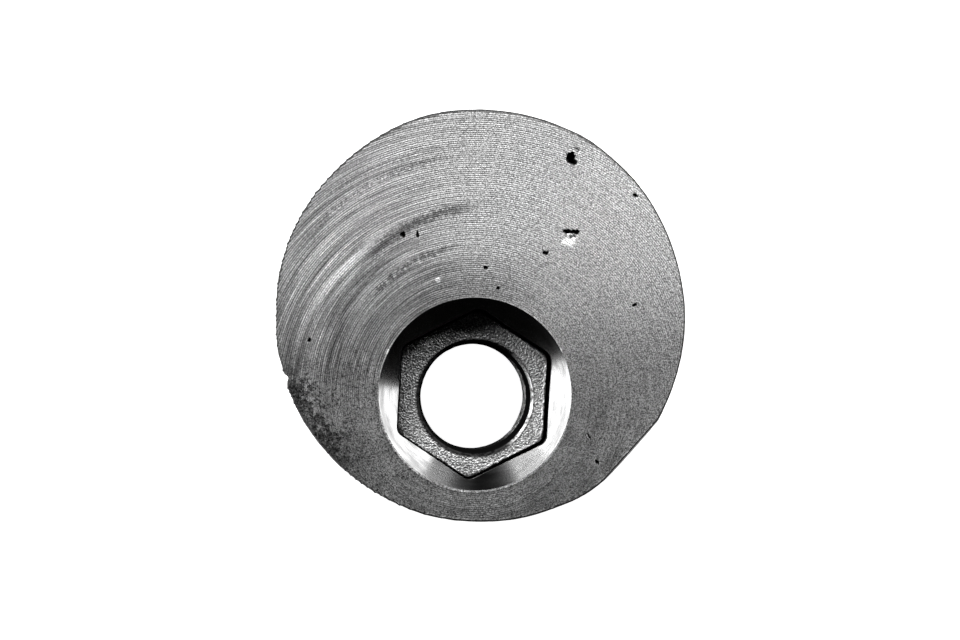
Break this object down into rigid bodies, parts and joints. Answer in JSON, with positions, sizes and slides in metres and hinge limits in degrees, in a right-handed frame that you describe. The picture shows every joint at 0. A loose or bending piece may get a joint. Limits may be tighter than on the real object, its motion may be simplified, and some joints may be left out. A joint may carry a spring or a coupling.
{
  "type": "eccentric disc nut",
  "caption": "Thick round cast disc, faced flat, with an off-centre turned conical mouth leading to a hexagonal pocket that holds a loose threaded hex nut over a bolt hole.",
  "frame": {"origin": "on the axis of the disc's bolt hole, at the back face", "axes": "+Z out of the faced front along the bolt hole's axis, +Y from the bolt hole to the centre of the disc, +X across the disc, square to a pair of the pocket's flats"},
  "size_m": [0.0505, 0.0504, 0.014],
  "materials": {
    "disc_casting": "faced on a lathe at the front, as cast on the side and back",
    "nut_steel": "dark granular faces, dark thread with its edges worn bright"
  },
  "bodies": {
    "disc": {"eccentric_disc": "disc_casting"},
    "nut": {"hex_nut": "nut_steel"}
  },
  "joints": [
    {"name": "nut_lift", "type": "slide", "parent": "disc", "child": "nut", "axis": [0, 0, 1], "range_m": [0, 0.014]}
  ]
}
